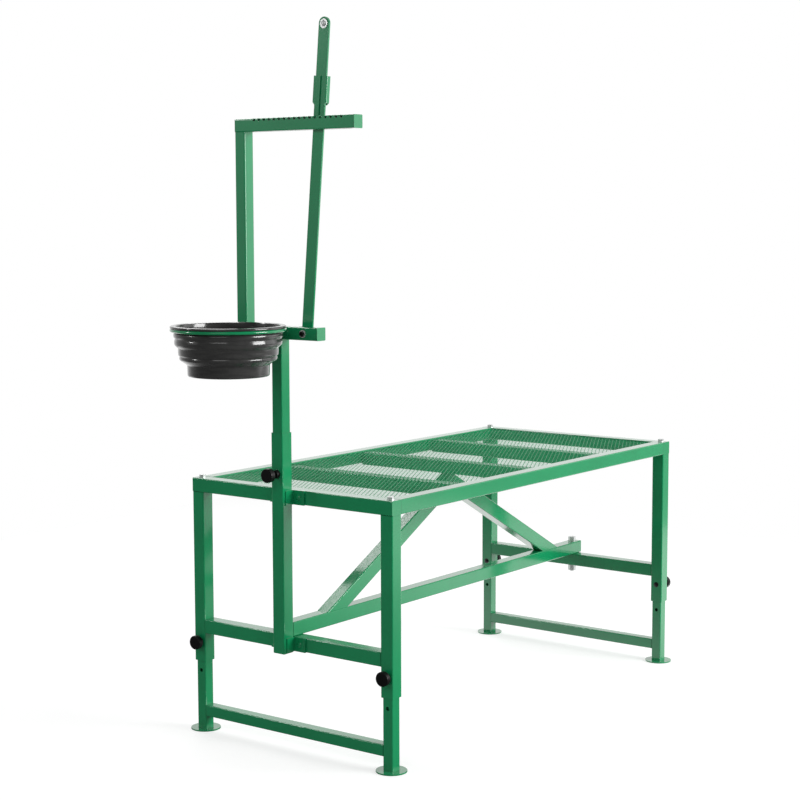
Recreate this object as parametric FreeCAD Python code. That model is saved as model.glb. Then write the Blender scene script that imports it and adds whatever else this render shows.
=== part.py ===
import FreeCAD, Part
import math
import os

os.makedirs("parts", exist_ok=True)

V = FreeCAD.Vector

# Goat milking stand. Millimetres, the head gate end faces -Y, Z is up and the floor is Z = 0.

# Frame tube
frame_tube = 32.0
frame_wall = 2.0
frame_corner = 2.5
tube_plug_depth = 3.0

# Deck
deck_width = 572.0
deck_length = 1200.0
deck_height = 586.0
mesh_recess = 2.0
support_wall = 2.0
support_count = 3
mesh_sheet = 2.0
mesh_strand = 6.0
mesh_columns = 8
mesh_rows = 18

# Legs
outer_leg_bottom = 162.0
upper_bar_rise = 66.0
leg_slide_gap = 1.0
inner_wall = 2.0
inner_leg_top_gap = 67.0
lower_bar_rise = 29.6
foot_radius = 34.0
foot_thickness = 3.0
leg_plug_depth = 16.0

# Height adjustment
hole_pitch = 68.0
leg_knob_rise = 45.0
leg_holes_above = 2
leg_holes_below = 1
pin_radius = 4.0
pin_fit = 0.05
pin_hole_slack = 0.5
pin_tip_gap = 0.4
knob_push = 5.0

# Leg knobs
knob_radius = 16.0
knob_thickness = 12.0
knob_gap = 6.6
knob_recess_slack = 1.0
knob_recess_margin = 2.6
knob_edge = 2.0
collar_radius = 9.5
leg_collar_height = 6.0
cap_radius = 7.0
cap_height = 3.5
plug_slack = 0.2

# Post
sleeve_wall = 1.5
sleeve_drop = 2.0
sleeve_rise = 126.5
mount_plate = 4.0
plate_bolt_side_gap = 17.0
plate_end_margin = 15.4
plate_cheek = 2.5
plate_cheek_reach = 24.0
plate_bolt_radius = 4.0
dome_radius = 7.0
dome_height = 4.0
post_slide_gap = 0.5
post_wall = 2.0
post_end_rise = 104.0
post_knob_rise = 37.0
post_holes_above = 1
post_holes_below = 2
post_collar_height = 10.0
post_stem_radius = 5.0
post_stem_length = 12.0
post_stem_gap = 0.5
post_knob_radius = 15.5
post_knob_thickness = 14.0

# Head gate
gate_rise = 329.7
gate_left = -112.5
lower_bar_end = 19.0
top_bar_end = 16.1
upright_height = 414.8
cap_plate = 2.0
cap_plug = 8.0
notch_width = 8.0
notch_depth = 6.0
notch_pitch = 14.11
notches_left = 12
notches_right = 5

# Neck lever
lever_width = 28.0
lever_thickness = 4.0
lever_front_offset = 14.0
lever_tilt = 4.69
lever_pivot_x = 74.3
lever_above_catch = 107.3
swing_open = 8.6
swing_closed = 20.8
rivet_radius = 4.0
rivet_washer_radius = 9.8
rivet_washer = 1.5
rivet_head_radius = 6.5
rivet_head_height = 3.0
rivet_back_radius = 7.5
rivet_back_height = 2.5
lever_end_gap = 1.0
lever_shoulder_drop = 5.0
pivot_radius = 4.0
pivot_fit = 0.05
pivot_flange_radius = 8.5
pivot_flange = 1.5
pivot_head_radius = 5.5
pivot_head_height = 5.0
pivot_socket = 6.0
pivot_socket_depth = 3.0
spacer_radius = 7.0
spacer_gap = 0.3
slot_front_gap = 3.5
slot_back_gap = 0.5
lower_slot_gap = 3.0
top_slot_gap = 4.0

# Lever catch
catch_bar_gap = 1.8
catch_length = 60.0
catch_sheet = 2.0
catch_front_gap = 0.3
catch_side_gap = 2.5
catch_back_gap = 3.7
catch_corner = 6.0
catch_fold = 1.8
catch_gap_left = 0.5
catch_gap_width = 11.0
tongue_width = 13.0
tongue_length = 33.0
tongue_overlap = 10.0

# Feed bowl and its ring
bowl_x = -14.0
ring_stand_off = 11.0
bowl_wall = 2.2
ring_radius = 118.5
ring_rod = 3.5
ring_rise = 13.3
ring_bowl_gap = 0.3
bowl_lip_overhang = 3.0
bowl_lip_height = 5.2
bowl_neck_gap = 4.0
bowl_pass_gap = 0.5
bowl_upper_taper = 2.0
bowl_lower_step = 9.5
bowl_base_step = 28.0
bowl_depth = 106.4
bowl_rib = 1.2
bowl_base_drop = 84.0
bowl_lower_foot_drop = 68.0
bowl_lower_rib_drops = (63.0, 62.0, 54.0, 53.0)
bowl_lower_top_drop = 48.0
bowl_upper_foot_drop = 41.0
bowl_upper_rib_drops = (35.0, 34.0, 24.0, 23.0)
bowl_upper_top_drop = 16.0
bowl_neck_drop = 13.0
bowl_base_taper = 0.5
bracket_plate = 3.0
bracket_end_radius = 9.5
bracket_bolt_offset = 38.0
bracket_bolt_radius = 3.0
bracket_dome_radius = 6.5
bracket_dome_height = 3.5
bracket_nut_hex = 10.0
bracket_nut = 5.0
stub_offset = 20.0
stub_radius = 3.2
stub_drop = 8.0

# Long beam and braces
beam_overhang = 6.0
brace_foot = 114.0
brace_apex_rise = 1.0
brace_extra_depth = 2.5
beam_bolt_inset = 15.0
beam_bolt_radius = 5.0
beam_bolt_head = 12.0

# Hexagon bolts and nuts
corner_bolt_radius = 5.0
corner_bolt_hex = 13.0
corner_bolt_head = 5.0
corner_flange_radius = 8.0
corner_flange = 1.2
corner_bolt_grip = 14.0
bolt_slack = 0.25
bolt_end = 2.0
small_nut_hex = 13.0
small_nut = 6.5
beam_nut_hex = 18.0
beam_nut = 14.0
washer = 2.0
washer_margin = 1.5
thread_fit = 0.05

# Places that follow from the sizes above
inner_tube = frame_tube - 2.0 * frame_wall - 2.0 * leg_slide_gap
post_tube = frame_tube - 2.0 * sleeve_wall - 2.0 * post_slide_gap
gate_reach = mount_plate + (frame_tube + post_tube) / 2.0
bowl_offset = gate_reach + bracket_plate + ring_stand_off + ring_rod + ring_radius
reach_front = bowl_offset + ring_radius + ring_rod
reach_back = deck_length + knob_gap + knob_thickness
front = (reach_front - reach_back) / 2.0
back = front + deck_length
half_width = deck_width / 2.0
rail_bottom = deck_height - frame_tube
leg_x = half_width - frame_tube / 2.0
leg_y = (front + frame_tube / 2.0, back - frame_tube / 2.0)
upper_bar_bottom = outer_leg_bottom + upper_bar_rise
upper_bar_top = upper_bar_bottom + frame_tube
beam_top = upper_bar_top + frame_tube
support_top = deck_height - mesh_recess - mesh_sheet
support_bottom = support_top - frame_tube
brace_depth = frame_tube + brace_extra_depth
leg_knob_height = outer_leg_bottom + leg_knob_rise
inner_leg_top = rail_bottom - leg_plug_depth - leg_holes_below * hole_pitch - inner_leg_top_gap
hole_radius = pin_radius + pin_hole_slack
knob_recess_radius = collar_radius + knob_recess_slack
knob_recess_depth = leg_collar_height + knob_push + knob_recess_margin - knob_gap
sleeve_bottom = upper_bar_bottom - sleeve_drop
sleeve_top = deck_height + sleeve_rise
sleeve_back = front - mount_plate
sleeve_front = sleeve_back - frame_tube
plate_bolt_offset = frame_tube / 2.0 + plate_bolt_side_gap
plate_half_width = plate_bolt_offset + plate_end_margin
post_y = (sleeve_back + sleeve_front) / 2.0
post_bottom = sleeve_bottom + post_end_rise
post_knob_height = deck_height + post_knob_rise
gate_bottom = deck_height + gate_rise
gate_front = post_y - post_tube / 2.0
gate_back = post_y + post_tube / 2.0
lower_bar_top = gate_bottom + post_tube
top_bar_bottom = lower_bar_top + upright_height
top_bar_top = top_bar_bottom + post_tube
pivot_z = gate_bottom + post_tube / 2.0
lever_front = gate_front + lever_front_offset
lever_back = lever_front + lever_thickness
lever_end_radius = post_tube / 2.0 - post_wall - lever_end_gap
lever_shoulder = lever_end_radius - lever_shoulder_drop
slot_front = lever_front - slot_front_gap
slot_back = lever_back + slot_back_gap
open_angle = math.radians(lever_tilt + swing_open)
closed_angle = math.radians(swing_closed - lever_tilt)
catch_half_width = lever_width / 2.0 + catch_side_gap + catch_sheet
catch_dip = (catch_half_width - catch_corner) * math.sin(closed_angle)
catch_reach = (top_bar_top - pivot_z + catch_dip + catch_bar_gap) / math.cos(closed_angle)
lever_rivet_reach = catch_reach + catch_length + lever_above_catch
bowl_y = front - bowl_offset
ring_height = pivot_z + ring_rise
bowl_lip_radius = ring_radius + bowl_lip_overhang
bowl_upper_radius = ring_radius - ring_rod - bowl_pass_gap
bowl_neck_radius = ring_radius - ring_rod - bowl_neck_gap
bowl_upper_foot = bowl_upper_radius - bowl_upper_taper
bowl_lower_radius = bowl_upper_radius - bowl_lower_step
bowl_base_radius = bowl_upper_radius - bowl_base_step


# How far the lever's edge gets to each side at a height above its pivot
def lever_edges(height):
    right = height * math.tan(open_angle) + lever_width / 2.0 / math.cos(open_angle)
    left = height * math.tan(closed_angle) + lever_width / 2.0 / math.cos(closed_angle)
    return lever_pivot_x - left, lever_pivot_x + right


edge_left, edge_right = lever_edges(lower_bar_top - pivot_z)
lower_slot_left = edge_left - lower_slot_gap
lower_slot_right = edge_right + lower_slot_gap
edge_left, edge_right = lever_edges(top_bar_top - pivot_z)
slot_top_left = edge_left - top_slot_gap
slot_top_right = edge_right + top_slot_gap
edge_left, edge_right = lever_edges(top_bar_bottom - pivot_z)
slot_bottom_left = edge_left - top_slot_gap
slot_bottom_right = edge_right + top_slot_gap
lower_bar_right = lower_slot_right + lower_bar_end
top_bar_right = slot_top_right + top_bar_end

AXES = {"X": V(1, 0, 0), "Y": V(0, 1, 0), "Z": V(0, 0, 1)}


# Plain block between two corners
def block(x0, x1, y0, y1, z0, z1):
    return Part.makeBox(x1 - x0, y1 - y0, z1 - z0, V(x0, y0, z0))


# Block whose four long edges are rounded
def rounded_bar(x0, x1, y0, y1, z0, z1, axis, corner):
    solid = block(x0, x1, y0, y1, z0, z1)
    long_edges = []
    for edge in solid.Edges:
        run = edge.Vertexes[1].Point - edge.Vertexes[0].Point
        run.normalize()
        if abs(run.dot(AXES[axis])) > 0.9:
            long_edges.append(edge)
    return solid.makeFillet(corner, long_edges)


# Square tube open at both ends
def square_tube(x0, x1, y0, y1, z0, z1, axis, wall, corner):
    outer = rounded_bar(x0, x1, y0, y1, z0, z1, axis, corner)
    past = 1.0
    pad_x = past if axis == "X" else -wall
    pad_y = past if axis == "Y" else -wall
    pad_z = past if axis == "Z" else -wall
    bore = block(x0 - pad_x, x1 + pad_x, y0 - pad_y, y1 + pad_y, z0 - pad_z, z1 + pad_z)
    return outer.cut(bore)


# Round rod from one point to another
def rod(radius, start, end):
    run = end - start
    return Part.makeCylinder(radius, run.Length, start, run)


# Ring or bush along an axis
def bush(outer_radius, bore_radius, start, end):
    run = end - start
    run.normalize()
    bore = rod(bore_radius, start - run, end + run)
    return rod(outer_radius, start, end).cut(bore)


# Six-sided prism standing on a point
def hexagon(across, height, base, axis):
    corner_radius = across / math.sqrt(3.0)
    points = []
    for i in range(7):
        angle = math.radians(60.0 * i + 30.0)
        points.append(V(corner_radius * math.cos(angle), corner_radius * math.sin(angle), 0))
    prism = Part.Face(Part.makePolygon(points)).extrude(V(0, 0, height))
    prism.Placement = FreeCAD.Placement(base, FreeCAD.Rotation(V(0, 0, 1), axis))
    return prism


# Low round head standing on a point
def dome(radius, height, base, axis):
    ball_radius = (radius * radius + height * height) / (2.0 * height)
    ball = Part.makeSphere(ball_radius)
    ball.translate(base + axis * (height - ball_radius))
    return Part.makeCylinder(radius, height, base, axis).common(ball)


# Knob head: a disc with rounded rims and a recess on the side that faces the leg
def knob_head(radius, thickness, recess_radius, recess_depth, base, axis):
    head = Part.makeCylinder(radius, thickness, base, axis)
    rims = []
    for edge in head.Edges:
        if isinstance(edge.Curve, Part.Circle):
            rims.append(edge)
    head = head.makeFillet(knob_edge, rims)
    if recess_depth > 0:
        head = head.cut(Part.makeCylinder(recess_radius, recess_depth, base, axis))
    return head


# Closed outline from corners (across, up, corner radius), each corner rounded where asked
def rounded_outline(corners):
    count = len(corners)
    spans = []
    for i in range(count):
        here = V(corners[i][0], 0, corners[i][1])
        before = V(corners[i - 1][0], 0, corners[i - 1][1])
        after = V(corners[(i + 1) % count][0], 0, corners[(i + 1) % count][1])
        radius = corners[i][2]
        if radius == 0:
            spans.append((here, None, here))
            continue
        to_before = (before - here).normalize()
        to_after = (after - here).normalize()
        half = to_before.getAngle(to_after) / 2.0
        setback = radius / math.tan(half)
        inward = (to_before + to_after).normalize()
        middle = here + inward * (radius / math.sin(half) - radius)
        spans.append((here + to_before * setback, middle, here + to_after * setback))
    edges = []
    for i in range(count):
        start, middle, end = spans[i]
        if middle is not None:
            edges.append(Part.Arc(start, middle, end).toShape())
        following = spans[(i + 1) % count][0]
        if (following - end).Length > 0.001:
            edges.append(Part.makeLine(end, following))
    return Part.Wire(edges)


# One solid for each node, or a group of separate solids for alike pieces
def save(name, shapes):
    if isinstance(shapes, list):
        shape = Part.makeCompound(shapes)
    else:
        shape = shapes
    shape.exportStep("parts/" + name + ".step")


# Deck end rails, with holes for the corner bolts and for the post plates
plate_bolt_z = {"upper": deck_height - frame_tube / 2.0, "lower": upper_bar_bottom + frame_tube / 2.0}
bolt_hole = plate_bolt_radius + bolt_slack
corner_hole = corner_bolt_radius + bolt_slack
end_rails = {}
for name, y0 in (("front", front), ("rear", back - frame_tube)):
    rail = square_tube(cap_plate - half_width, half_width - cap_plate, y0, y0 + frame_tube,
                       rail_bottom, deck_height, "X", frame_wall, frame_corner)
    for side in (-1, 1):
        x = side * leg_x
        middle = y0 + frame_tube / 2.0
        rail = rail.cut(rod(corner_hole, V(x, middle, rail_bottom - 1), V(x, middle, deck_height + 1)))
        if name == "front":
            x = side * plate_bolt_offset
            z = plate_bolt_z["upper"]
            rail = rail.cut(rod(bolt_hole, V(x, front - 1, z), V(x, front + frame_tube + 1, z)))
    end_rails[name] = rail
save("deck_front_rail", end_rails["front"])
save("deck_rear_rail", end_rails["rear"])

# Deck side rails
for name, side in (("left", -1), ("right", 1)):
    x0 = side * leg_x - frame_tube / 2.0
    save("deck_" + name + "_rail",
         square_tube(x0, x0 + frame_tube, front + frame_tube, back - frame_tube,
                     rail_bottom, deck_height, "Y", frame_wall, frame_corner))

# Plates that close the end rails, each with a plug in the tube
rail_caps = []
for y0 in (front, back - frame_tube):
    for side in (-1, 1):
        ends = sorted((side * half_width, side * (half_width - cap_plate)))
        plate = rounded_bar(ends[0], ends[1], y0, y0 + frame_tube, rail_bottom, deck_height,
                            "X", frame_corner)
        plug_ends = sorted((side * (half_width - cap_plate),
                            side * (half_width - cap_plate - tube_plug_depth)))
        plug = block(plug_ends[0], plug_ends[1],
                     y0 + frame_wall, y0 + frame_tube - frame_wall,
                     rail_bottom + frame_wall, deck_height - frame_wall)
        rail_caps.append(plate.fuse(plug).removeSplitter())
save("deck_rail_caps", rail_caps)

# Cross supports under the mesh
support_names = ("front", "middle", "rear")
inner_half = half_width - frame_tube
for i in range(support_count):
    middle = front + deck_length * (i + 1) / (support_count + 1)
    support = square_tube(-inner_half, inner_half, middle - frame_tube / 2.0,
                          middle + frame_tube / 2.0, support_bottom, support_top,
                          "X", support_wall, frame_corner)
    save("deck_" + support_names[i] + "_support", support)

# Deck mesh: a sheet with rows of diamond holes
mesh_y0 = front + frame_tube
mesh_y1 = back - frame_tube
pitch_x = 2.0 * inner_half / mesh_columns
pitch_y = (mesh_y1 - mesh_y0) / mesh_rows
reach_x = pitch_x / 2.0 - mesh_strand
reach_y = pitch_y / 2.0 - mesh_strand
sheet_edge = Part.makePolygon([V(-inner_half, mesh_y0, support_top),
                               V(inner_half, mesh_y0, support_top),
                               V(inner_half, mesh_y1, support_top),
                               V(-inner_half, mesh_y1, support_top),
                               V(-inner_half, mesh_y0, support_top)])
outlines = [sheet_edge]
for row in range(2 * mesh_rows - 1):
    shifted = row % 2
    for column in range(mesh_columns - shifted):
        x = -inner_half + pitch_x * (column + 0.5 + 0.5 * shifted)
        y = mesh_y0 + pitch_y * (row + 1) / 2.0
        outlines.append(Part.makePolygon([V(x - reach_x, y, support_top),
                                          V(x, y - reach_y, support_top),
                                          V(x + reach_x, y, support_top),
                                          V(x, y + reach_y, support_top),
                                          V(x - reach_x, y, support_top)]))
sheet = Part.Face(outlines, "Part::FaceMakerBullseye")
save("deck_mesh", sheet.extrude(V(0, 0, mesh_sheet)))

# Corner bolts and the threaded plugs in the leg tops
corner_bolts = []
leg_plugs = []
plug_half = frame_tube / 2.0 - frame_wall
for y in leg_y:
    for side in (-1, 1):
        x = side * leg_x
        shank = rod(corner_bolt_radius, V(x, y, rail_bottom - corner_bolt_grip), V(x, y, deck_height))
        flange = rod(corner_flange_radius, V(x, y, deck_height), V(x, y, deck_height + corner_flange))
        head = hexagon(corner_bolt_hex, corner_bolt_head, V(x, y, deck_height + corner_flange),
                       V(0, 0, 1))
        corner_bolts.append(shank.fuse([flange, head]).removeSplitter())
        plug = block(x - plug_half, x + plug_half, y - plug_half, y + plug_half,
                     rail_bottom - leg_plug_depth, rail_bottom)
        bore = rod(corner_bolt_radius + thread_fit,
                   V(x, y, rail_bottom - leg_plug_depth - 1), V(x, y, rail_bottom + 1))
        leg_plugs.append(plug.cut(bore))
save("deck_corner_bolts", corner_bolts)
save("leg_top_plugs", leg_plugs)

# Legs, their cross bars, feet, knobs, collars and caps at each end of the stand
collars = []
far_caps = []
inner_bottom = foot_thickness
lower_bar_bottom = foot_thickness + lower_bar_rise
for end_name, y, outward in (("front", leg_y[0], -1), ("rear", leg_y[1], 1)):
    feet = []
    for side_name, side in (("left", -1), ("right", 1)):
        x = side * leg_x
        outer = square_tube(x - frame_tube / 2.0, x + frame_tube / 2.0,
                            y - frame_tube / 2.0, y + frame_tube / 2.0,
                            outer_leg_bottom, rail_bottom, "Z", frame_wall, frame_corner)
        z = leg_knob_height
        outer = outer.cut(rod(hole_radius, V(x, y - frame_tube, z), V(x, y + frame_tube, z)))
        save(end_name + "_" + side_name + "_outer_leg", outer)

        inner = square_tube(x - inner_tube / 2.0, x + inner_tube / 2.0,
                            y - inner_tube / 2.0, y + inner_tube / 2.0,
                            inner_bottom, inner_leg_top,
                            "Z", inner_wall, frame_corner)
        for step in range(-leg_holes_below, leg_holes_above + 1):
            z = leg_knob_height + step * hole_pitch
            inner = inner.cut(rod(hole_radius, V(x, y - inner_tube, z), V(x, y + inner_tube, z)))
        save(end_name + "_" + side_name + "_inner_leg", inner)
        feet.append(rod(foot_radius, V(x, y, 0), V(x, y, foot_thickness)))

        z = leg_knob_height
        way = V(0, outward, 0)
        face = V(x, y + outward * frame_tube / 2.0, z)
        head = knob_head(knob_radius, knob_thickness, knob_recess_radius, knob_recess_depth,
                         face + way * knob_gap, way)
        inner_face = V(x, y + outward * inner_tube / 2.0, z)
        pin = rod(pin_radius, inner_face + way * pin_tip_gap,
                  face + way * (knob_gap + knob_recess_depth))
        save(end_name + "_" + side_name + "_leg_knob", head.fuse(pin).removeSplitter())
        collars.append(bush(collar_radius, pin_radius + pin_fit, face, face + way * leg_collar_height))

        far_face = V(x, y - outward * frame_tube / 2.0, z)
        button = dome(cap_radius, cap_height, far_face, way * -1)
        stem = rod(hole_radius - plug_slack, far_face, far_face + way * frame_wall)
        far_caps.append(button.fuse(stem).removeSplitter())
    save(end_name + "_foot_discs", feet)

    bar_half = half_width - frame_tube
    upper = square_tube(-bar_half, bar_half, y - frame_tube / 2.0, y + frame_tube / 2.0,
                        upper_bar_bottom, upper_bar_top, "X", frame_wall, frame_corner)
    z = plate_bolt_z["lower"]
    if end_name == "front":
        for side in (-1, 1):
            x = side * plate_bolt_offset
            upper = upper.cut(rod(bolt_hole, V(x, y - frame_tube, z), V(x, y + frame_tube, z)))
    else:
        bolt_y = back - beam_bolt_inset
        upper = upper.cut(rod(beam_bolt_radius + bolt_slack, V(0, bolt_y, upper_bar_bottom - 1),
                              V(0, bolt_y, upper_bar_top + 1)))
    save(end_name + "_upper_crossbar", upper)

    bar_half = leg_x - inner_tube / 2.0
    save(end_name + "_lower_crossbar",
         square_tube(-bar_half, bar_half, y - inner_tube / 2.0, y + inner_tube / 2.0,
                     lower_bar_bottom, lower_bar_bottom + inner_tube, "X", inner_wall, frame_corner))
save("leg_knob_collars", collars)
save("leg_hole_caps", far_caps)

# Long beam, with its end cap and the bolt that holds it on the rear cross bar
half_tube = frame_tube / 2.0
beam_back = back + beam_overhang
beam = square_tube(-half_tube, half_tube, sleeve_back, beam_back - cap_plate,
                   upper_bar_top, beam_top, "Y", frame_wall, frame_corner)
bolt_y = back - beam_bolt_inset
beam = beam.cut(rod(beam_bolt_radius + bolt_slack, V(0, bolt_y, upper_bar_top - 1),
                    V(0, bolt_y, beam_top + 1)))
save("long_beam", beam)
beam_cap = rounded_bar(-half_tube, half_tube, beam_back - cap_plate, beam_back,
                       upper_bar_top, beam_top, "Y", frame_corner)
beam_plug = block(frame_wall - half_tube, half_tube - frame_wall,
                  beam_back - cap_plate - tube_plug_depth, beam_back - cap_plate,
                  upper_bar_top + frame_wall, beam_top - frame_wall)
save("beam_end_cap", beam_cap.fuse(beam_plug).removeSplitter())
head = hexagon(beam_nut_hex, beam_bolt_head, V(0, bolt_y, beam_top), V(0, 0, 1))
shank_end = upper_bar_bottom - washer - beam_nut
shank = rod(beam_bolt_radius, V(0, bolt_y, shank_end - bolt_end), V(0, bolt_y, beam_top))
save("beam_bolt", head.fuse(shank).removeSplitter())
nut = hexagon(beam_nut_hex, beam_nut, V(0, bolt_y, shank_end), V(0, 0, 1))
nut_washer = rod(beam_nut_hex / 2.0 + washer_margin, V(0, bolt_y, shank_end + beam_nut),
                 V(0, bolt_y, upper_bar_bottom))
nut_bore = rod(beam_bolt_radius + thread_fit, V(0, bolt_y, shank_end - 1),
               V(0, bolt_y, upper_bar_bottom + 1))
save("beam_nut", nut.fuse(nut_washer).removeSplitter().cut(nut_bore))

# Two sloping braces that meet under the middle support
apex_y = front + deck_length / 2.0
apex_z = support_bottom + brace_apex_rise
brace_run = deck_length / 2.0 - brace_foot
slope = math.degrees(math.atan2(apex_z - beam_top, brace_run))
stock = deck_length
for name, side in (("front", -1), ("rear", 1)):
    tube = square_tube(-half_tube, half_tube, -stock, stock, -brace_depth, 0, "Y",
                       frame_wall, frame_corner)
    tube.rotate(V(0, 0, 0), V(1, 0, 0), -side * slope)
    tube.translate(V(0, apex_y, apex_z))
    ends = sorted((apex_y, apex_y + side * stock))
    window = block(-frame_tube, frame_tube, ends[0], ends[1], beam_top, support_bottom)
    save(name + "_brace", tube.common(window))

# Post sleeve, its plates with a cheek on each side of the sleeve, and their bolts
sleeve = square_tube(-half_tube, half_tube, sleeve_front, sleeve_back, sleeve_bottom, sleeve_top,
                     "Z", sleeve_wall, frame_corner)
post_hole_z = post_knob_height
sleeve = sleeve.cut(rod(hole_radius, V(0, sleeve_front - 1, post_hole_z), V(0, post_y, post_hole_z)))
save("post_sleeve", sleeve)
plate_bolts = []
plate_nuts = []
for name in ("upper", "lower"):
    z = plate_bolt_z[name]
    plate = block(-plate_half_width, plate_half_width, sleeve_back, front,
                  z - frame_tube / 2.0, z + frame_tube / 2.0)
    for side in (-1, 1):
        cheek_x = sorted((side * half_tube, side * (half_tube + plate_cheek)))
        cheek = block(cheek_x[0], cheek_x[1], sleeve_back - plate_cheek_reach, sleeve_back,
                      z - frame_tube / 2.0, z + frame_tube / 2.0)
        plate = plate.fuse(cheek)
    plate = plate.removeSplitter()
    for side in (-1, 1):
        x = side * plate_bolt_offset
        plate = plate.cut(rod(bolt_hole, V(x, sleeve_back - 1, z), V(x, front + 1, z)))
        nut_y = front + frame_tube
        head = dome(dome_radius, dome_height, V(x, sleeve_back, z), V(0, -1, 0))
        shank = rod(plate_bolt_radius, V(x, sleeve_back, z), V(x, nut_y + small_nut + bolt_end, z))
        plate_bolts.append(head.fuse(shank).removeSplitter())
        nut = hexagon(small_nut_hex, small_nut, V(x, nut_y, z), V(0, 1, 0))
        plate_nuts.append(nut.cut(rod(plate_bolt_radius + thread_fit, V(x, nut_y - 1, z),
                                      V(x, nut_y + small_nut + 1, z))))
    save("post_" + name + "_plate", plate)
save("plate_bolts", plate_bolts)
save("plate_nuts", plate_nuts)

# Post knob with its pin and collar
z = post_knob_height
collar_front = sleeve_front - post_collar_height
save("post_knob_collar",
     bush(collar_radius, post_stem_radius + pin_fit, V(0, sleeve_front, z), V(0, collar_front, z)))
head_back = collar_front - post_stem_length
head = knob_head(post_knob_radius, post_knob_thickness, 0, 0, V(0, head_back, z), V(0, -1, 0))
stem_back = sleeve_front - knob_push - post_stem_gap
stem = rod(post_stem_radius, V(0, head_back, z), V(0, stem_back, z))
pin = rod(pin_radius, V(0, head_back, z), V(0, gate_front - pin_tip_gap, z))
save("post_knob", head.fuse([stem, pin]).removeSplitter())

# Sliding post
half_post = post_tube / 2.0
post = square_tube(-half_post, half_post, gate_front, gate_back, post_bottom, gate_bottom,
                   "Z", post_wall, frame_corner)
for step in range(-post_holes_below, post_holes_above + 1):
    z = post_knob_height + step * hole_pitch
    post = post.cut(rod(hole_radius, V(0, gate_front - 1, z), V(0, post_y, z)))
save("inner_post", post)

# Lower bar of the gate, with the slot for the lever and the bolt holes
lower_bar = square_tube(gate_left + cap_plate, lower_bar_right - cap_plate, gate_front, gate_back,
                        gate_bottom, lower_bar_top, "X", post_wall, frame_corner)
lower_bar = lower_bar.cut(block(lower_slot_left, lower_slot_right, slot_front, slot_back,
                                pivot_z, lower_bar_top + 1))
lower_bar = lower_bar.cut(rod(pivot_radius + bolt_slack, V(lever_pivot_x, gate_front - 1, pivot_z),
                              V(lever_pivot_x, gate_back + 1, pivot_z)))
for side in (-1, 1):
    x = bowl_x + side * bracket_bolt_offset
    lower_bar = lower_bar.cut(rod(bracket_bolt_radius + bolt_slack, V(x, gate_front - 1, pivot_z),
                                  V(x, gate_back + 1, pivot_z)))
save("gate_lower_bar", lower_bar)

# Upright of the gate
save("gate_upright",
     square_tube(gate_left, gate_left + post_tube, gate_front, gate_back,
                 lower_bar_top, top_bar_bottom, "Z", post_wall, frame_corner))

# Top bar of the gate, with the lever slot and the row of notches
top_bar = square_tube(gate_left + cap_plate, top_bar_right - cap_plate, gate_front, gate_back,
                      top_bar_bottom, top_bar_top, "X", post_wall, frame_corner)
top_bar = top_bar.cut(block(slot_top_left, slot_top_right, slot_front, slot_back,
                            pivot_z + upright_height, top_bar_top + 1))
top_bar = top_bar.cut(block(slot_bottom_left, slot_bottom_right, slot_front, slot_back,
                            top_bar_bottom - 1, top_bar_bottom + post_wall + 1))
notch_start = lever_pivot_x + (top_bar_top - pivot_z) * math.tan(math.radians(lever_tilt))
notch_round = notch_width / 2.0
notch_floor = top_bar_top - notch_depth
cutters = []
for step in range(-notches_left, notches_right + 1):
    x = notch_start + step * notch_pitch
    z = notch_floor + notch_round
    cutters.append(rod(notch_round, V(x, gate_front - 1, z), V(x, slot_front + 1, z)))
    cutters.append(block(x - notch_round, x + notch_round, gate_front - 1, slot_front + 1,
                         z, top_bar_top + 1))
save("gate_top_bar", top_bar.cut(cutters))

# Plugs that close the ends of the two gate bars
gate_caps = []
for right, z0 in ((lower_bar_right, gate_bottom), (top_bar_right, top_bar_bottom)):
    for inner_end, out in ((gate_left + cap_plate, -1), (right - cap_plate, 1)):
        span = sorted((inner_end, inner_end + out * cap_plate))
        plate = rounded_bar(span[0], span[1], gate_front, gate_back, z0, z0 + post_tube,
                            "X", frame_corner)
        span = sorted((inner_end, inner_end - out * cap_plug))
        plug = block(span[0], span[1], gate_front + post_wall, gate_back - post_wall,
                     z0 + post_wall, z0 + post_tube - post_wall)
        gate_caps.append(plate.fuse(plug).removeSplitter())
save("gate_end_caps", gate_caps)

# Neck lever, drawn upright on its pivot and then tilted
pivot = V(lever_pivot_x, lever_front, pivot_z)
half_lever = lever_width / 2.0
shoulder_reach = math.hypot(half_lever, lever_shoulder)
touch = math.atan2(lever_shoulder, half_lever) - math.acos(lever_end_radius / shoulder_reach)
touch_x = lever_end_radius * math.cos(touch)
touch_z = lever_end_radius * math.sin(touch)
lever_outline = Part.Wire([
    Part.Arc(V(-touch_x, 0, touch_z), V(0, 0, -lever_end_radius), V(touch_x, 0, touch_z)).toShape(),
    Part.makeLine(V(touch_x, 0, touch_z), V(half_lever, 0, lever_shoulder)),
    Part.makeLine(V(half_lever, 0, lever_shoulder), V(half_lever, 0, lever_rivet_reach)),
    Part.Arc(V(half_lever, 0, lever_rivet_reach), V(0, 0, lever_rivet_reach + half_lever),
             V(-half_lever, 0, lever_rivet_reach)).toShape(),
    Part.makeLine(V(-half_lever, 0, lever_rivet_reach), V(-half_lever, 0, lever_shoulder)),
    Part.makeLine(V(-half_lever, 0, lever_shoulder), V(-touch_x, 0, touch_z))])
lever = Part.Face(lever_outline).extrude(V(0, lever_thickness, 0))
lever = lever.cut(rod(pivot_radius + pivot_fit, V(0, -1, 0), V(0, lever_thickness + 1, 0)))
lever = lever.cut(rod(rivet_radius + pivot_fit, V(0, -1, lever_rivet_reach),
                      V(0, lever_thickness + 1, lever_rivet_reach)))
lever.translate(pivot)
lever.rotate(pivot, V(0, 1, 0), lever_tilt)
save("neck_lever", lever)

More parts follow.
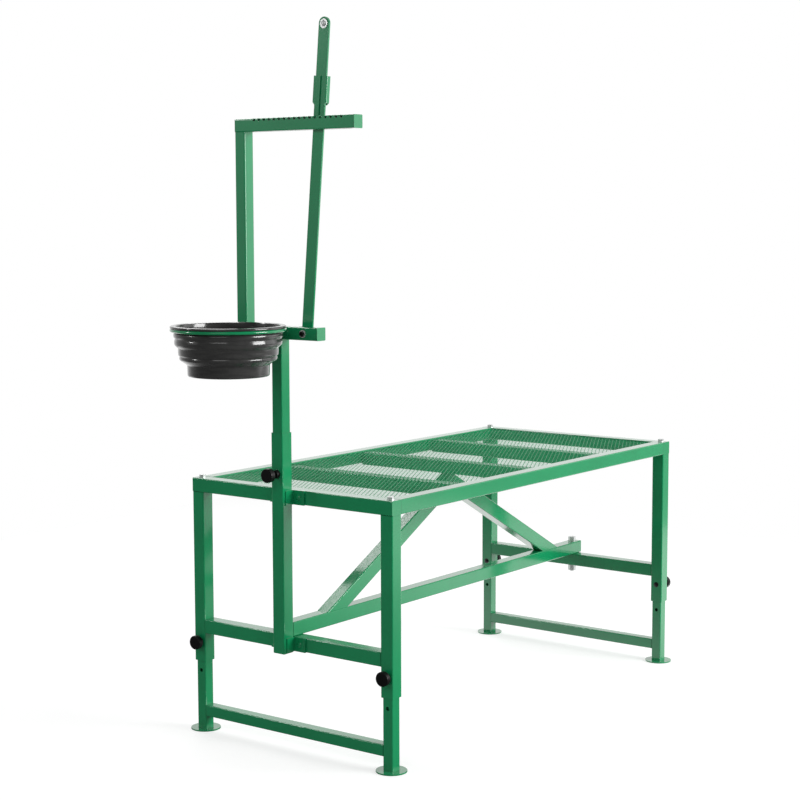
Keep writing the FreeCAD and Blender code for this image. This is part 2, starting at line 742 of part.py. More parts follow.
# Rivet with a washer, through the rounded top of the lever
at = V(0, 0, lever_rivet_reach)
inward = V(0, 1, 0)
washer_front = at - inward * rivet_washer
lever_far = at + inward * lever_thickness
rivet = rod(rivet_radius, at, lever_far)
rivet = rivet.fuse([rod(rivet_washer_radius, washer_front, at),
                    dome(rivet_head_radius, rivet_head_height, washer_front, inward * -1),
                    dome(rivet_back_radius, rivet_back_height, lever_far, inward)]).removeSplitter()
rivet.translate(pivot)
rivet.rotate(pivot, V(0, 1, 0), lever_tilt)
save("lever_top_rivet", rivet)

# Catch: a sheet folded round the lever, with a tongue that reaches down into the slot
front_face = -catch_front_gap - catch_sheet
back_face = lever_thickness + catch_back_gap + catch_sheet
catch = rounded_bar(-catch_half_width, catch_half_width, front_face, back_face, catch_reach,
                    catch_reach + catch_length, "Z", catch_fold)
catch = catch.cut(block(catch_sheet - catch_half_width, catch_half_width - catch_sheet,
                        -catch_front_gap, back_face - catch_sheet,
                        catch_reach - 1, catch_reach + catch_length + 1))
catch = catch.cut(block(catch_gap_left, catch_gap_left + catch_gap_width, front_face - 1, 0,
                        catch_reach - 1, catch_reach + catch_length + 1))
for side in (-1, 1):
    corner = V(side * catch_half_width, front_face - 1, catch_reach)
    wedge = Part.Face(Part.makePolygon([corner, corner - V(side * catch_corner, 0, 0),
                                        corner + V(0, 0, catch_corner), corner]))
    catch = catch.cut(wedge.extrude(V(0, back_face - front_face + 2, 0)))
tongue = block(catch_gap_left - tongue_width, catch_gap_left, front_face, -catch_front_gap,
               catch_reach - tongue_length, catch_reach + tongue_overlap)
catch = catch.fuse(tongue).removeSplitter()
catch.translate(pivot)
catch.rotate(pivot, V(0, 1, 0), lever_tilt)
save("lever_catch", catch)

# Pivot bolt, nut and the two spacers that hold the lever in the middle of the bar
start = V(lever_pivot_x, gate_front, pivot_z)
head = rod(pivot_head_radius, start, start - V(0, pivot_head_height, 0))
head = head.fuse(rod(pivot_flange_radius, start, start - V(0, pivot_flange, 0)))
socket = hexagon(pivot_socket, pivot_socket_depth, start - V(0, pivot_head_height, 0), V(0, 1, 0))
nut_start = V(lever_pivot_x, gate_back, pivot_z)
shank = rod(pivot_radius, start, nut_start + V(0, small_nut + bolt_end, 0))
save("pivot_bolt", head.cut(socket).fuse(shank).removeSplitter())
nut = hexagon(small_nut_hex, small_nut, nut_start, V(0, 1, 0))
save("pivot_nut", nut.cut(rod(pivot_radius + thread_fit, nut_start - V(0, 1, 0),
                              nut_start + V(0, small_nut + 1, 0))))
spacers = []
for wall_y, lever_y in ((gate_front + post_wall, lever_front - spacer_gap),
                        (lever_back + spacer_gap, gate_back - post_wall)):
    spacers.append(bush(spacer_radius, pivot_radius + bolt_slack, V(lever_pivot_x, wall_y, pivot_z),
                        V(lever_pivot_x, lever_y, pivot_z)))
save("pivot_spacers", spacers)

# Bracket on the lower bar that carries the bowl ring
plate_back = gate_front
plate_front = gate_front - bracket_plate
bracket = block(bowl_x - bracket_bolt_offset, bowl_x + bracket_bolt_offset, plate_front, plate_back,
                pivot_z - bracket_end_radius, pivot_z + bracket_end_radius)
bracket_bolts = []
bracket_nuts = []
for side in (-1, 1):
    x = bowl_x + side * bracket_bolt_offset
    round_end = rod(bracket_end_radius, V(x, plate_front, pivot_z), V(x, plate_back, pivot_z))
    bracket = bracket.fuse(round_end)
bracket = bracket.removeSplitter()
for side in (-1, 1):
    x = bowl_x + side * bracket_bolt_offset
    bracket = bracket.cut(rod(bracket_bolt_radius + bolt_slack, V(x, plate_front - 1, pivot_z),
                              V(x, plate_back + 1, pivot_z)))
    head = dome(bracket_dome_radius, bracket_dome_height, V(x, plate_front, pivot_z), V(0, -1, 0))
    shank_end = gate_back + bracket_nut + bolt_end
    shank = rod(bracket_bolt_radius, V(x, plate_front, pivot_z), V(x, shank_end, pivot_z))
    bracket_bolts.append(head.fuse(shank).removeSplitter())
    nut = hexagon(bracket_nut_hex, bracket_nut, V(x, gate_back, pivot_z), V(0, 1, 0))
    bracket_nuts.append(nut.cut(rod(bracket_bolt_radius + thread_fit, V(x, gate_back - 1, pivot_z),
                                    V(x, gate_back + bracket_nut + 1, pivot_z))))
save("ring_bracket", bracket)
save("bracket_bolts", bracket_bolts)
save("bracket_nuts", bracket_nuts)

# Ring that the bowl hangs in, with two stubs to the bracket
ring = Part.makeTorus(ring_radius, ring_rod, V(bowl_x, bowl_y, ring_height), V(0, 0, 1))
back_reach = math.sqrt(ring_radius * ring_radius - stub_offset * stub_offset)
for side in (-1, 1):
    x = bowl_x + side * stub_offset
    ring = ring.fuse(rod(stub_radius, V(x, plate_back, ring_height - stub_drop),
                         V(x, bowl_y + back_reach, ring_height)))
ring = ring.cut(block(bowl_x - ring_radius, bowl_x + ring_radius, plate_front, gate_back,
                      gate_bottom - post_tube, top_bar_top))
save("bowl_ring", ring)

# Feed bowl, turned about its upright axis
lip_bottom = ring_height + ring_rod + ring_bowl_gap
rim = lip_bottom + bowl_lip_height
floor = rim - bowl_depth
neck_in = bowl_neck_radius - bowl_wall
lower_rib = [rim - drop for drop in bowl_lower_rib_drops]
upper_rib = [rim - drop for drop in bowl_upper_rib_drops]
bowl_outline = [
    (0, floor, 0), (bowl_base_radius - bowl_base_taper, floor, 5.0),
    (bowl_base_radius, rim - bowl_base_drop, 3.0),
    (bowl_lower_radius, rim - bowl_lower_foot_drop, 1.5), (bowl_lower_radius, lower_rib[0], 0.5),
    (bowl_lower_radius - bowl_rib, lower_rib[1], 0.5), (bowl_lower_radius - bowl_rib, lower_rib[2], 0.5),
    (bowl_lower_radius, lower_rib[3], 0.5), (bowl_lower_radius, rim - bowl_lower_top_drop, 1.5),
    (bowl_upper_foot, rim - bowl_upper_foot_drop, 2.0), (bowl_upper_foot + 0.5, upper_rib[0], 0.5),
    (bowl_upper_foot + 0.6 - bowl_rib, upper_rib[1], 0.5),
    (bowl_upper_foot + 1.4 - bowl_rib, upper_rib[2], 0.5),
    (bowl_upper_foot + 1.6, upper_rib[3], 0.5), (bowl_upper_radius, rim - bowl_upper_top_drop, 1.5),
    (bowl_neck_radius, rim - bowl_neck_drop, 1.0), (bowl_neck_radius, rim - bowl_wall, 1.0),
    (bowl_lip_radius - bowl_wall, rim - bowl_wall, 0.5),
    (bowl_lip_radius - bowl_wall, lip_bottom, 0.5),
    (bowl_lip_radius, lip_bottom, 0.5), (bowl_lip_radius, rim, 1.8),
    (neck_in, rim, 1.5), (neck_in, rim - bowl_neck_drop - 0.8, 1.0),
    (bowl_upper_radius - bowl_wall, rim - bowl_upper_top_drop - 0.8, 1.0),
    (bowl_upper_foot - bowl_wall, rim - bowl_upper_foot_drop + 1.0, 1.5),
    (bowl_lower_radius - bowl_wall, rim - bowl_lower_top_drop + 1.0, 1.5),
    (bowl_lower_radius - bowl_wall, rim - bowl_lower_foot_drop + 1.0, 1.5),
    (bowl_base_radius - bowl_wall, rim - bowl_base_drop + 1.0, 3.0),
    (bowl_base_radius - bowl_wall, floor + bowl_wall, 4.0),
    (0, floor + bowl_wall, 0)]
bowl = Part.Face(rounded_outline(bowl_outline)).revolve(V(0, 0, 0), V(0, 0, 1), 360)
bowl.translate(V(bowl_x, bowl_y, 0))
save("feed_bowl", bowl)
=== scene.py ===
# %% [markdown]
# # Goat milking stand
# A green powder-coated stand: a mesh deck on telescoping legs, and a head gate with a neck lever
# and a feed bowl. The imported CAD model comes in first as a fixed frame. Everything added here is
# placed from that frame, in metres.

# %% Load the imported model
import math

import bpy
from mathutils import Matrix, Vector


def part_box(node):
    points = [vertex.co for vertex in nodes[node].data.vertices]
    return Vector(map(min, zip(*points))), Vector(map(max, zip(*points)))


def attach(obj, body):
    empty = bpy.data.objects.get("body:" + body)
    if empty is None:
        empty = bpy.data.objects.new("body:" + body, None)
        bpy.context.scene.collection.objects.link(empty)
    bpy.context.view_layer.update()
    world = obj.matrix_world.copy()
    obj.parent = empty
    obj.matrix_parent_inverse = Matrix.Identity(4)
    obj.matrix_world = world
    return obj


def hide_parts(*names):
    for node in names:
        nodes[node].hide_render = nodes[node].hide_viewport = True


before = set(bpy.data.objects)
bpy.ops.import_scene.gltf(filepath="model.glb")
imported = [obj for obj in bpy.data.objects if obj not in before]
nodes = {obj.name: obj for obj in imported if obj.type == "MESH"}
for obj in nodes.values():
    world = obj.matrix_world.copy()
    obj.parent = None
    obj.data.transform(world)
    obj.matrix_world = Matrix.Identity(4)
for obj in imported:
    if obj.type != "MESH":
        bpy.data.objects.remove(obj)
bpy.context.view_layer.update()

# %% [markdown]
# The photograph was taken with a long lens from the right of the gate, a little above it. The
# camera's place and turn were solved from the stand's own edges, so the render lines up with the
# photograph. The camera looks along its own -Z, so its matrix is built from its right, up and
# backward directions.

# %% Camera
camera_place = Vector((2.50519, -3.37463, 1.18957))
yaw = math.radians(37.052)
pitch = math.radians(6.0906)
roll = math.radians(-0.1407)
level_forward = Vector((-math.sin(yaw), math.cos(yaw), 0.0))
forward = level_forward * math.cos(pitch) - Vector((0.0, 0.0, math.sin(pitch)))
level_right = Vector((math.cos(yaw), math.sin(yaw), 0.0))
level_up = level_right.cross(forward)
right = level_right * math.cos(roll) + level_up * math.sin(roll)
up = level_up * math.cos(roll) - level_right * math.sin(roll)

camera_data = bpy.data.cameras.new("camera")
camera_data.sensor_width = 36.0
camera_data.lens = 79.88
camera_data.clip_start = 0.05
camera_data.clip_end = 200.0
camera = bpy.data.objects.new("camera", camera_data)
bpy.context.scene.collection.objects.link(camera)
turn = Matrix((right, up, -forward)).transposed().to_4x4()
camera.matrix_world = Matrix.Translation(camera_place) @ turn
bpy.context.scene.camera = camera
print("camera at", [round(v, 3) for v in camera.location])

# %% [markdown]
# Materials are written as sums. A small class wraps a node's output, so that adding or
# multiplying two of them makes the Math node that does it. Every other node comes from one method
# that takes its type, its settings and its inputs.


# %% Shader helpers
class Value:
    def __init__(self, finish, socket):
        self.finish = finish
        self.socket = socket

    def math(self, operation, other=None, third=None):
        inputs = {0: self}
        if other is not None:
            inputs[1] = other
        if third is not None:
            inputs[2] = third
        return self.finish.node("ShaderNodeMath", {"operation": operation}, inputs)

    def __add__(self, other):
        return self.math("ADD", other)

    def __radd__(self, other):
        return self.math("ADD", other)

    def __sub__(self, other):
        return self.math("SUBTRACT", other)

    def __rsub__(self, other):
        return self.math("MULTIPLY_ADD", -1.0, other)

    def __mul__(self, other):
        return self.math("MULTIPLY", other)

    def __rmul__(self, other):
        return self.math("MULTIPLY", other)

    def __truediv__(self, other):
        return self.math("DIVIDE", other)

    def __abs__(self):
        return self.math("ABSOLUTE")

    def larger(self, other):
        return self.math("MAXIMUM", other)

    def smooth(self, start, end):
        settings = {"interpolation_type": "SMOOTHSTEP"}
        return self.finish.node("ShaderNodeMapRange", settings, {0: self, 1: start, 2: end})


class Finish:
    def __init__(self, name):
        self.material = bpy.data.materials.new(name)
        self.material.use_nodes = True
        self.tree = self.material.node_tree
        self.shader = self.tree.nodes["Principled BSDF"]

    def node(self, kind, settings=None, inputs=None, output=0):
        made = self.tree.nodes.new(kind)
        for key, value in (settings or {}).items():
            setattr(made, key, value)
        for key, value in (inputs or {}).items():
            self.feed(made.inputs[key], value)
        return Value(self, made.outputs[output])

    def feed(self, socket, value):
        if isinstance(value, Value):
            self.tree.links.new(value.socket, socket)
        else:
            socket.default_value = value

    def set(self, **values):
        for key, value in values.items():
            self.feed(self.shader.inputs[key.replace("_", " ")], value)

    def place(self):
        return self.node("ShaderNodeTexCoord", output=3)

    def noise(self, scale, detail=2.0, stretch=None):
        where = self.place()
        if stretch is not None:
            where = self.node("ShaderNodeMapping", None, {0: where, 3: stretch})
        inputs = {"Vector": where, "Scale": scale, "Detail": detail}
        return self.node("ShaderNodeTexNoise", None, inputs)

    def blend(self, amount, first, second):
        settings = {"data_type": "RGBA"}
        return self.node("ShaderNodeMix", settings, {0: amount, 6: first, 7: second}, output=2)

    def bump(self, height, distance):
        inputs = {"Strength": 1.0, "Distance": distance, "Height": height}
        return self.node("ShaderNodeBump", None, inputs)


def wear(material, *names):
    for name in names:
        for place in nodes[name].material_slots:
            place.material = material


print("helpers ready")

# %% [markdown]
# The stand is square steel tube with a glossy green powder coat. Powder coat isn't flat: it has a
# fine orange-peel skin, a slightly uneven tone, and a few dull specks of dust. Where two tubes
# are butted and welded, the coat sinks into the joint and leaves a thin dark line. A joint is
# where a tube ends, so each group of tubes has its own list of places, read from the CAD boxes.
# The top bar is also given its box: what lies inside its wall, seen through the notches, is
# painted near-black as shade.

# %% Green powder coat
coat_green = (0.007, 0.292, 0.108, 1.0)
coat_deep = (0.006, 0.266, 0.098, 1.0)
coat_joint = (0.003, 0.110, 0.043, 1.0)
# painted shade: near-black for the inside of the top bar's wall, seen through its notches
painted_tube_shade = (0.001, 0.008, 0.004, 1.0)
cloud_scale, skin_scale, speck_scale = 7.0, 650.0, 230.0
line_core, line_edge = 0.0003, 0.0011
line_tone, line_depth = 0.5, 6.0
wall_start, wall_end = 0.44, 0.46


def joint_line(axes, joints):
    line = None
    for axis, at in joints:
        near = 1.0 - abs(axes[axis] - at).smooth(line_core, line_edge)
        line = near if line is None else line.larger(near)
    return line


# Mask of the painted shade: 1 inside the tube's wall box, which shows through the notches.
def tube_shade_mask(axes, low, high):
    across = abs(axes["Y"] - (low.y + high.y) / 2) / (high.y - low.y)
    upright = abs(axes["Z"] - (low.z + high.z) / 2) / (high.z - low.z)
    return 1.0 - across.larger(upright).smooth(wall_start, wall_end)


def powder_coat(name, joints=(), gloss=0.15, peel=0.000012, shaded_hollow=None, shine=0.5, clear=0.85):
    finish = Finish(name)
    parts = finish.node("ShaderNodeSeparateXYZ", None, {0: finish.place()}).socket.node.outputs
    axes = {axis: Value(finish, parts[axis]) for axis in "XYZ"}
    cloud = finish.noise(cloud_scale, 3.0)
    skin = finish.noise(skin_scale, 2.0)
    speck = finish.noise(speck_scale, 4.0).smooth(0.68, 0.76)
    tone = finish.blend(cloud.smooth(0.35, 0.7), coat_green, coat_deep)
    height = skin * 0.3 + cloud * 0.8
    if joints:
        line = joint_line(axes, joints)
        tone = finish.blend(line * line_tone, tone, coat_joint)
        height = height - line * line_depth
    # Paints the inside of the tube near-black as shade.
    if shaded_hollow is not None:
        tone = finish.blend(tube_shade_mask(axes, *shaded_hollow), tone, painted_tube_shade)
    rough = gloss + cloud * 0.05 + speck * 0.07
    finish.set(Base_Color=tone, Roughness=rough, Normal=finish.bump(height, peel))
    finish.set(Coat_Weight=clear, Coat_Roughness=0.10, IOR=1.45, Specular_IOR_Level=shine)
    return finish.material


rail_low, rail_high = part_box("deck_right_rail")
leg_low, leg_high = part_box("front_right_outer_leg")
cross_low, cross_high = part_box("front_upper_crossbar")
lower_low, lower_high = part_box("front_lower_crossbar")
bar_low, bar_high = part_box("gate_lower_bar")
top_low, top_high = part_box("gate_top_bar")
print("joints at y", round(rail_low.y, 4), round(rail_high.y, 4), "z", round(leg_high.z, 4))

# %% Coat for each group of tubes
rail_coat = powder_coat("rail_coat", [("Y", rail_low.y), ("Y", rail_high.y)])
leg_coat = powder_coat("leg_coat", [("Z", leg_high.z)])
cross_coat = powder_coat("cross_coat", [("X", cross_low.x), ("X", cross_high.x)])
lower_coat = powder_coat("lower_coat", [("X", lower_low.x), ("X", lower_high.x)])
plain_coat = powder_coat("plain_coat")
upright_coat = powder_coat("upright_coat", [("Z", bar_high.z), ("Z", bar_low.z)])
bar_ends = [("X", bar_low.x), ("X", bar_high.x), ("X", top_high.x)]
bar_coat = powder_coat("bar_coat", bar_ends)
notched_coat = powder_coat("notched_coat", [("X", top_high.x)], shaded_hollow=(top_low, top_high))

wear(rail_coat, "deck_front_rail", "deck_rear_rail", "deck_left_rail", "deck_right_rail",
     "deck_rail_caps")
wear(leg_coat, "front_left_outer_leg", "front_right_outer_leg", "rear_left_outer_leg",
     "rear_right_outer_leg")
wear(cross_coat, "front_upper_crossbar", "rear_upper_crossbar", "deck_front_support",
     "deck_middle_support", "deck_rear_support")
wear(lower_coat, "front_lower_crossbar", "rear_lower_crossbar")
wear(plain_coat, "front_left_inner_leg", "front_right_inner_leg", "rear_left_inner_leg",
     "rear_right_inner_leg", "front_foot_discs", "rear_foot_discs", "post_sleeve", "post_upper_plate",
     "post_lower_plate", "plate_bolts", "long_beam", "beam_end_cap", "front_brace", "rear_brace",
     "neck_lever", "lever_catch", "bowl_ring", "ring_bracket", "bracket_bolts")
wear(upright_coat, "inner_post", "gate_upright")
wear(bar_coat, "gate_lower_bar", "gate_end_caps")
wear(notched_coat, "gate_top_bar")
print("coats", len(bpy.data.materials))

# %% [markdown]
# The corner bolts, the beam bolt, the lever's top rivet and the nuts are bright zinc. Zinc plate
# has a faint milky mottle and fine turned marks, so it is mostly metallic, with a roughness that
# wanders. The pivot bolt has a bright flange, with a dark core round its axis painted in as the
# shade of its hex recess, so its colour changes with the distance from its own axis.


# %% Zinc and the pivot bolt
zinc_bright = (0.86, 0.87, 0.86, 1.0)
zinc_dull = (0.70, 0.72, 0.72, 1.0)
# painted shade: the dark core of the pivot bolt stands for the shade in its hex recess
painted_recess_shade = (0.03, 0.03, 0.03, 1.0)
core_radius, core_blur = 0.0057, 0.0003


def plated_steel(name, core=None):
    finish = Finish(name)
    mottle = finish.noise(420.0, 3.0)
    turned = finish.noise(1600.0, 1.0, (1.0, 1.0, 0.08))
    tone = finish.blend(mottle.smooth(0.35, 0.65), zinc_bright, zinc_dull)
    if core is not None:
        vector = "ShaderNodeVectorMath"
        away = finish.node(vector, {"operation": "SUBTRACT"}, {0: finish.place(), 1: core})
        flat = finish.node(vector, {"operation": "MULTIPLY"}, {0: away, 1: (1.0, 0.0, 1.0)})
        reach = finish.node(vector, {"operation": "LENGTH"}, {0: flat}, output=1)
        # Paints a dark core round the bolt's axis as the shade of its hex recess.
        tone = finish.blend(reach.smooth(core_radius, core_radius + core_blur), painted_recess_shade, tone)
    finish.set(Base_Color=tone, Roughness=0.32 + mottle * 0.14,
               Normal=finish.bump(turned, 0.00003), Metallic=0.6)
    return finish.material


zinc = plated_steel("zinc")
pivot_low, pivot_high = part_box("pivot_bolt")
pivot_steel = plated_steel("pivot_steel", (pivot_low + pivot_high) / 2)
wear(zinc, "deck_corner_bolts", "beam_bolt", "beam_nut", "plate_nuts", "pivot_nut", "pivot_spacers",
     "bracket_nuts", "leg_top_plugs", "lever_top_rivet")
wear(pivot_steel, "pivot_bolt")
print("metals ready")

# %% [markdown]
# Knobs, collars and hole caps are black with a fine spark-eroded grain. The grain is a small
# bump, and it also makes the gloss uneven.

# %% Black moulded plastic
knob_black = (0.005, 0.005, 0.005, 1.0)
knob_blackest = (0.003, 0.003, 0.003, 1.0)
knob_finish = Finish("knob_plastic")
knob_cloud = knob_finish.noise(40.0, 2.0)
knob_grain = knob_finish.noise(1500.0, 2.0)
knob_tone = knob_finish.blend(knob_cloud.smooth(0.35, 0.65), knob_black, knob_blackest)
knob_finish.set(Base_Color=knob_tone, Roughness=0.28 + knob_grain * 0.12,
                Normal=knob_finish.bump(knob_grain, 0.00004), Specular_IOR_Level=0.28)
wear(knob_finish.material, "front_left_leg_knob", "front_right_leg_knob", "rear_left_leg_knob",
     "rear_right_leg_knob", "post_knob", "leg_knob_collars", "post_knob_collar", "leg_hole_caps")
print("knob plastic ready")

# %% [markdown]
# The deck is expanded metal: a steel sheet slit and stretched into small diamonds. A pair of
# diamonds is modelled and repeated by two Array modifiers, which is quick and exact. The inner
# corner towards the gate is lifted and the opposite one lowered, because stretching twists each
# strand. The sheet is made in four panels, one for each bay between the cross supports, to keep
# every mesh light. The diamonds are about half as large again as the real ones, so that they
# still show in an 800-pixel render.

# %% Deck mesh
cell_across = 0.01060
cell_along = 0.01940
strand = 0.00078
sheet_thickness = 0.00035
strand_twist = 0.00006
sheet_drop = 0.0010
hair = 0.00001
weld = 0.0001
spare_cells = 3
sheet_low, sheet_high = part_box("deck_mesh")


def only(obj):
    bpy.ops.object.select_all(action="DESELECT")
    obj.select_set(True)
    bpy.context.view_layer.objects.active = obj


def pick_points(obj, low, high):
    bpy.ops.object.mode_set(mode="EDIT")
    bpy.ops.mesh.select_mode(type="VERT")
    bpy.ops.mesh.select_all(action="DESELECT")
    bpy.ops.object.mode_set(mode="OBJECT")
    for vertex in obj.data.vertices:
        if low < vertex.co.y < high:
            vertex.select = True
    bpy.ops.object.mode_set(mode="EDIT")


def apply_modifiers(obj):
    only(obj)
    for name in [modifier.name for modifier in obj.modifiers]:
        bpy.ops.object.modifier_apply(modifier=name)


def diamond_pair(name):
    bpy.ops.object.select_all(action="DESELECT")
    bpy.ops.mesh.primitive_circle_add(vertices=4, radius=1.0, fill_type="NGON")
    panel = bpy.context.object
    panel.name = name
    bpy.ops.object.mode_set(mode="EDIT")
    bpy.ops.transform.resize(value=(cell_across / 2, cell_along / 2, 1.0))
    bpy.ops.mesh.inset(thickness=strand)
    bpy.ops.mesh.delete(type="ONLY_FACE")
    inner = (cell_along / 2 - strand) * 0.5
    outer = cell_along / 2 - hair
    pick_points(panel, -outer, -inner)
    bpy.ops.transform.translate(value=(0, 0, strand_twist))
    pick_points(panel, inner, outer)
    bpy.ops.transform.translate(value=(0, 0, -strand_twist))
    bpy.ops.mesh.select_all(action="SELECT")
    bpy.ops.mesh.duplicate()
    bpy.ops.transform.translate(value=(cell_across / 2, cell_along / 2, 0))
    return panel


def mesh_panel(name, start, end):
    panel = diamond_pair(name)
    corner = Vector((sheet_low.x - cell_across, start - cell_along, sheet_high.z - sheet_drop))
    bpy.ops.mesh.select_all(action="SELECT")
    bpy.ops.transform.translate(value=corner)
    bpy.ops.object.mode_set(mode="OBJECT")
    columns = math.ceil((sheet_high.x - sheet_low.x) / cell_across) + spare_cells
    rows = math.ceil((end - start) / cell_along) + spare_cells
    for count, offset in ((columns, (cell_across, 0, 0)), (rows, (0, cell_along, 0))):
        array = panel.modifiers.new("array", "ARRAY")
        array.count = count
        array.use_relative_offset = False
        array.use_constant_offset = True
        array.constant_offset_displace = offset
    apply_modifiers(panel)
    bpy.ops.object.mode_set(mode="EDIT")
    bpy.ops.mesh.select_all(action="SELECT")
    bpy.ops.mesh.remove_doubles(threshold=weld)
    for point, normal in (((sheet_low.x, 0, 0), (-1, 0, 0)), ((sheet_high.x, 0, 0), (1, 0, 0)),
                          ((0, start, 0), (0, -1, 0)), ((0, end, 0), (0, 1, 0))):
        bpy.ops.mesh.select_all(action="SELECT")
        bpy.ops.mesh.bisect(plane_co=point, plane_no=normal, clear_outer=True)
    bpy.ops.object.mode_set(mode="OBJECT")
    wall = panel.modifiers.new("wall", "SOLIDIFY")
    wall.thickness = sheet_thickness
    wall.offset = 0.0
    apply_modifiers(panel)
    return panel


support_names = ("deck_front_support", "deck_middle_support", "deck_rear_support")
supports = [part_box(name) for name in support_names]
edges = [sheet_low.y] + [(low.y + high.y) / 2 for low, high in supports] + [sheet_high.y]
mesh_coat = powder_coat("mesh_coat", gloss=0.40, peel=0.00002, shine=0.15, clear=0.0)
panel_names = ("deck_mesh_front", "deck_mesh_middle_front", "deck_mesh_middle_rear",
               "deck_mesh_rear")
for name, start, end in zip(panel_names, edges, edges[1:]):
    panel = mesh_panel(name, start, end)
    panel.data.materials.append(mesh_coat)
    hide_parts("deck_mesh")
    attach(panel, "deck_frame")
    print(name, len(panel.data.polygons), "faces")

# %% [markdown]
# The feed bowl is a deep black plastic bowl that steps in twice and stands on a round foot. Its
# steps have soft bulges that catch the light in bands. Half of its outline is drawn as a row of
# points of radius and height, swept round with Spin, and shaded smooth up to an angle limit.

# %% Feed bowl
bowl_low, bowl_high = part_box("feed_bowl")
bowl_centre = (bowl_low + bowl_high) / 2
rim = bowl_high.z
foot = bowl_low.z
wall = 0.0022
outside = [
    (0.0000, foot), (0.0800, foot), (0.0838, foot + 0.0006), (0.0855, foot + 0.0022),
    (0.0860, foot + 0.0050), (0.0864, rim - 0.0835), (0.0868, rim - 0.0820), (0.0885, rim - 0.0800),
    (0.1005, rim - 0.0722), (0.1020, rim - 0.0705), (0.1026, rim - 0.0680), (0.1024, rim - 0.0655),
    (0.1016, rim - 0.0642), (0.1022, rim - 0.0630), (0.1040, rim - 0.0618), (0.1047, rim - 0.0600),
    (0.1050, rim - 0.0540), (0.1050, rim - 0.0480), (0.1056, rim - 0.0462), (0.1080, rim - 0.0440),
    (0.1108, rim - 0.0412), (0.1122, rim - 0.0390), (0.1128, rim - 0.0355), (0.1126, rim - 0.0310),
    (0.1118, rim - 0.0285), (0.1114, rim - 0.0270), (0.1120, rim - 0.0256), (0.1136, rim - 0.0235),
    (0.1144, rim - 0.0205), (0.1144, rim - 0.0175), (0.1136, rim - 0.0150), (0.1114, rim - 0.0134),
    (0.1110, rim - 0.0120), (0.1110, rim - 0.0030), (0.1116, rim - 0.0024), (0.1186, rim - 0.0022),
    (0.1192, rim - 0.0028), (0.1194, rim - 0.0048), (0.1200, rim - 0.0052), (0.1210, rim - 0.0050),
    (0.1214, rim - 0.0042), (0.1215, rim - 0.0022), (0.1209, rim - 0.0008), (0.1196, rim - 0.0001),
    (0.1180, rim), (0.1112, rim), (0.1094, rim - 0.0007), (0.1088, rim - 0.0022),
]
inside = [
    (0.1088, rim - 0.0128), (0.1116, rim - 0.0160), (0.1122, rim - 0.0180), (0.1122, rim - 0.0205),
    (0.1112, rim - 0.0240), (0.1094, rim - 0.0262), (0.1094, rim - 0.0276), (0.1104, rim - 0.0300),
    (0.1105, rim - 0.0355), (0.1100, rim - 0.0384), (0.1030, rim - 0.0456), (0.1028, rim - 0.0480),
    (0.1028, rim - 0.0600), (0.1000, rim - 0.0632), (0.0996, rim - 0.0660), (0.1002, rim - 0.0680),
    (0.0990, rim - 0.0706), (0.0866, rim - 0.0790), (0.0846, rim - 0.0812), (0.0842, rim - 0.0840),
    (0.0838, foot + 0.0060), (0.0825, foot + 0.0034), (0.0800, foot + wall), (0.0000, foot + wall),
]
print("outline points", len(outside) + len(inside))


# %% Spin the outline
spin_steps = 160
spin_weld = 0.00001


def spun(name, outline, centre):
    bpy.ops.object.select_all(action="DESELECT")
    bpy.ops.mesh.primitive_plane_add(size=0.001, location=(0, 0, 0))
    piece = bpy.context.object
    piece.name = name
    bpy.ops.object.mode_set(mode="EDIT")
    bpy.ops.mesh.merge(type="CENTER")
    first = outline[0]
    bpy.ops.transform.translate(value=(centre.x + first[0], centre.y, first[1]))
    here = first
    for point in outline[1:]:
        step = (point[0] - here[0], 0, point[1] - here[1])
        bpy.ops.mesh.extrude_region_move(TRANSFORM_OT_translate={"value": step})
        here = point
    bpy.ops.mesh.select_all(action="SELECT")
    bpy.ops.mesh.spin(steps=spin_steps, angle=math.radians(360), center=(centre.x, centre.y, 0),
                      axis=(0, 0, 1))
    bpy.ops.mesh.select_all(action="SELECT")
    bpy.ops.mesh.remove_doubles(threshold=spin_weld)
    bpy.ops.mesh.normals_make_consistent(inside=False)
    bpy.ops.object.mode_set(mode="OBJECT")
    only(piece)
    bpy.ops.object.shade_smooth_by_angle(angle=math.radians(40))
    return piece


bowl = spun("bowl_black", outside + inside, bowl_centre)
print("bowl faces", len(bowl.data.polygons), "size", [round(v, 4) for v in bowl.dimensions])

# %% [markdown]
# The bowl's plastic is glossier than the knobs', dark grey rather than black. Its tone is
# slightly uneven, and its skin has a fine grain and upright ripples, which break up the
# reflections.

# %% Bowl plastic
bowl_dark = (0.036, 0.036, 0.036, 1.0)
bowl_light = (0.050, 0.050, 0.049, 1.0)
bowl_finish = Finish("bowl_plastic")
smear = bowl_finish.noise(24.0, 3.0, (1.0, 1.0, 6.0))
grain = bowl_finish.noise(900.0, 2.0)
ripple = bowl_finish.noise(20.0, 1.0, (1.0, 1.0, 0.03))
bowl_tone = bowl_finish.blend(smear.smooth(0.3, 0.7), bowl_dark, bowl_light)
bowl_skin = grain * 0.02 + smear * 0.1 + ripple * 4.0
bowl_finish.set(Base_Color=bowl_tone, Roughness=0.12 + smear * 0.08 + grain * 0.03,
                Normal=bowl_finish.bump(bowl_skin, 0.0005), Coat_Weight=0.4, Coat_Roughness=0.06)
bowl.data.materials.append(bowl_finish.material)
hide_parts("feed_bowl")
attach(bowl, "bowl")
print("bowl plastic ready")

# %% [markdown]
# The floor is white to the camera and keeps the stand's shadow. In reflections it is white behind
# the stand and dark in front of it, so that the front faces keep a deep green and the tops mirror
# white. It is in two halves, one riding with each pair of legs, so that it stays under the feet
# at every height.

